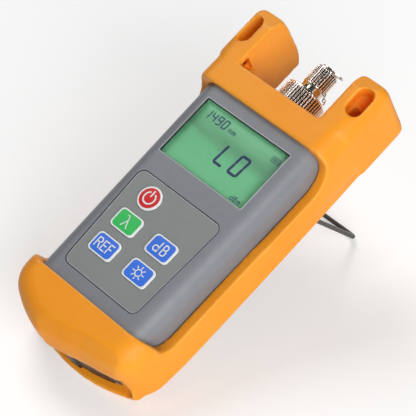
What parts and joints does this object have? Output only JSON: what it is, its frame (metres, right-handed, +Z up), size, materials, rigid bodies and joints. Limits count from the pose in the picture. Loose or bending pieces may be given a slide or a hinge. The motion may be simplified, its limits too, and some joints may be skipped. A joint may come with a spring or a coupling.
{
  "type": "optical power meter",
  "caption": "Handheld optical power meter in a horned rubber boot, with display, keypad, capped fibre port and fold-out stand, for measuring light from optical fibre.",
  "frame": {"origin": "middle of the footprint, on the surface that the meter stands on", "axes": "+Z up, +Y towards the fibre port, +X across to the right as the display is read; the meter leans back on its open stand"},
  "size_m": [0.0802, 0.1714, 0.0975],
  "materials": {
    "boot_rubber": "satin moulded rubber",
    "case_plastic": "fine moulded grain",
    "rear_plastic": "fine moulded grain",
    "keypad_sheet": "matt printed film",
    "key_red": "satin",
    "key_green": "satin",
    "key_blue": "satin",
    "clear_window": "clear",
    "lcd_green": "green display",
    "light_guide_white": "milky",
    "board_green": "solder mask",
    "spring_steel": "bright",
    "nickel_plate": "polished and knurled nickel",
    "ceramic_white": "ceramic",
    "stand_grey": "satin",
    "battery_wrap": "plain sleeve"
  },
  "bodies": {
    "housing": {"boot": "boot_rubber", "front_shell": "case_plastic", "rear_shell": "rear_plastic", "display_window": "clear_window", "lcd_panel": "lcd_green", "light_guide": "light_guide_white", "keypad_overlay": "keypad_sheet", "main_board": "board_green", "key_domes": "spring_steel", "photodiode": "spring_steel", "detector_board": "board_green", "port_base": "nickel_plate", "battery_cells": "battery_wrap", "battery_contacts": "spring_steel", "battery_door": "rear_plastic", "case_screws": "spring_steel", "stand_pins": "spring_steel"},
    "adapter": {"adapter_barrel": "nickel_plate", "alignment_sleeve": "ceramic_white"},
    "ring": {"knurled_ring": "nickel_plate"},
    "cap_carrier": {"cap_eyelet": "nickel_plate", "retaining_chain": "nickel_plate"},
    "cap": {"dust_cap": "nickel_plate"},
    "stand": {"stand_bail": "stand_grey"},
    "power_key": {"power_key": "key_red"},
    "wavelength_key": {"wavelength_key": "key_green"},
    "decibel_key": {"decibel_key": "key_blue"},
    "reference_key": {"reference_key": "key_blue"},
    "backlight_key": {"backlight_key": "key_blue"}
  },
  "joints": [
    {"name": "stand_swing", "type": "hinge", "parent": "housing", "child": "stand", "pos_m": [0, 0.03291, 0.04451], "axis": [1, 0, 0], "range_deg": [-109.5, 0]},
    {"name": "adapter_lift", "type": "slide", "parent": "housing", "child": "adapter", "axis": [0, 0.9198, 0.3924], "range_m": [0, 0.00225]},
    {"name": "ring_turn", "type": "hinge", "parent": "adapter", "child": "ring", "pos_m": [0, 0.06103, 0.07287], "axis": [0, 0.9198, 0.3924], "range_deg": [0, 1080]},
    {"name": "cap_lift", "type": "slide", "parent": "adapter", "child": "cap_carrier", "axis": [0, 0.9198, 0.3924], "range_m": [0, 0.0045]},
    {"name": "cap_turn", "type": "hinge", "parent": "cap_carrier", "child": "cap", "pos_m": [0, 0.07391, 0.07836], "axis": [0, 0.9198, 0.3924], "range_deg": [0, 2160]},
    {"name": "power_key_press", "type": "slide", "parent": "housing", "child": "power_key", "axis": [0, 0.3924, -0.9198], "range_m": [0, 0.0005], "stiffness_N_per_m": 1200, "springref_m": -0.0004},
    {"name": "wavelength_key_press", "type": "slide", "parent": "housing", "child": "wavelength_key", "axis": [0, 0.3924, -0.9198], "range_m": [0, 0.0005], "stiffness_N_per_m": 1200, "springref_m": -0.0004},
    {"name": "decibel_key_press", "type": "slide", "parent": "housing", "child": "decibel_key", "axis": [0, 0.3924, -0.9198], "range_m": [0, 0.0005], "stiffness_N_per_m": 1200, "springref_m": -0.0004},
    {"name": "reference_key_press", "type": "slide", "parent": "housing", "child": "reference_key", "axis": [0, 0.3924, -0.9198], "range_m": [0, 0.0005], "stiffness_N_per_m": 1200, "springref_m": -0.0004},
    {"name": "backlight_key_press", "type": "slide", "parent": "housing", "child": "backlight_key", "axis": [0, 0.3924, -0.9198], "range_m": [0, 0.0005], "stiffness_N_per_m": 1200, "springref_m": -0.0004}
  ],
  "couplings": [
    {"joint": "ring_turn", "follows": "adapter_lift", "rad_per_m": 8377.6},
    {"joint": "cap_turn", "follows": "cap_lift", "rad_per_m": 8377.6}
  ]
}
